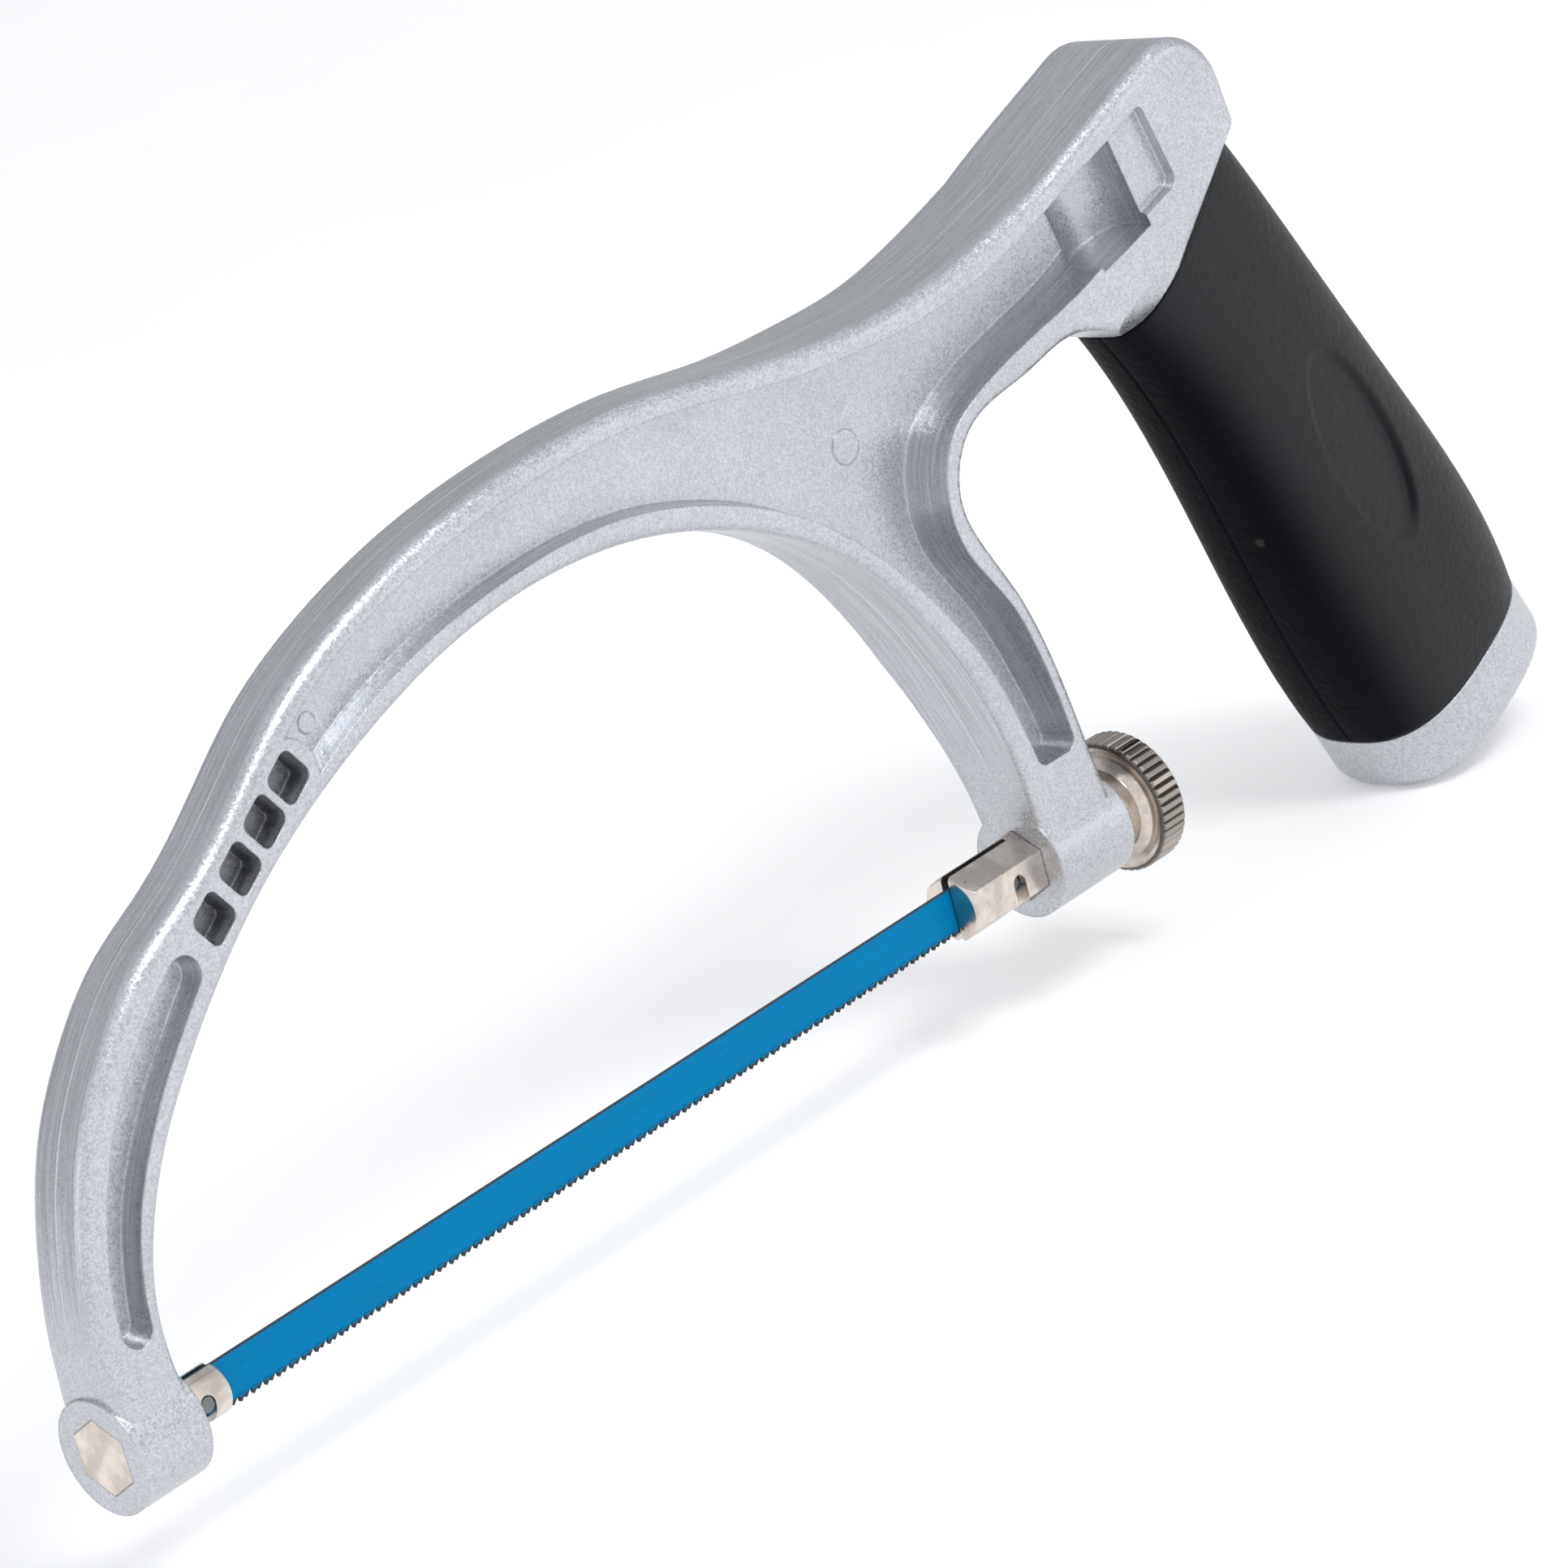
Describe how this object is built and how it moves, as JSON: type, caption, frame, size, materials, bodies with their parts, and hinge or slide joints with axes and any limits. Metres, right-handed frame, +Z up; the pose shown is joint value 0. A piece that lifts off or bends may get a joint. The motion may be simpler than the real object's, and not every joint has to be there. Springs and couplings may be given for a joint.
{
  "type": "small hacksaw",
  "caption": "Small hacksaw with a cast D-shaped frame, soft pistol grip, pinned blade in two hexagonal holders, and a knurled nut that tensions it.",
  "frame": {"origin": "on the blade's tension axis, in the front face of the front boss", "axes": "+X along the blade towards the handle, +Y across the saw, +Z up from the teeth towards the arch"},
  "size_m": [0.2708, 0.0278, 0.1158],
  "materials": {
    "casting_paint": "fine metallic silver over die-cast aluminium",
    "grip_rubber": "matt, finely textured",
    "nickel": "warm nickel plate, lightly brushed",
    "zinc_screw": "zinc plated",
    "blade_paint": "blue lacquer on spring steel",
    "bare_steel": "bare hardened steel"
  },
  "bodies": {
    "saw_frame": {"frame": "casting_paint", "grip_sleeve": "grip_rubber", "end_cap": "casting_paint", "end_cap_screw": "zinc_screw"},
    "front_holder": {"front_blade_holder": "nickel"},
    "rear_holder": {"rear_blade_holder": "nickel"},
    "nut": {"tension_nut": "nickel"},
    "blade_set": {"blade": "blade_paint", "blade_pin_front": "bare_steel", "blade_pin_rear": "bare_steel"}
  },
  "joints": [
    {"name": "tension_nut_spin", "type": "hinge", "parent": "saw_frame", "child": "nut", "pos_m": [0.186, 0, 0], "axis": [1, 0, 0], "range_deg": [0, 360]},
    {"name": "rear_holder_slide", "type": "slide", "parent": "saw_frame", "child": "rear_holder", "axis": [-1, 0, 0], "range_m": [0, 0.00105]},
    {"name": "front_holder_slide", "type": "slide", "parent": "saw_frame", "child": "front_holder", "axis": [-1, 0, 0], "range_m": [0, 0.00105]},
    {"name": "blade_release", "type": "slide", "parent": "rear_holder", "child": "blade_set", "axis": [0, 0, -1], "range_m": [0, 0.012]}
  ],
  "couplings": [
    {"joint": "rear_holder_slide", "follows": "tension_nut_spin", "m_per_rad": 0.00015915},
    {"joint": "front_holder_slide", "follows": "tension_nut_spin", "m_per_rad": 0.00015915}
  ]
}
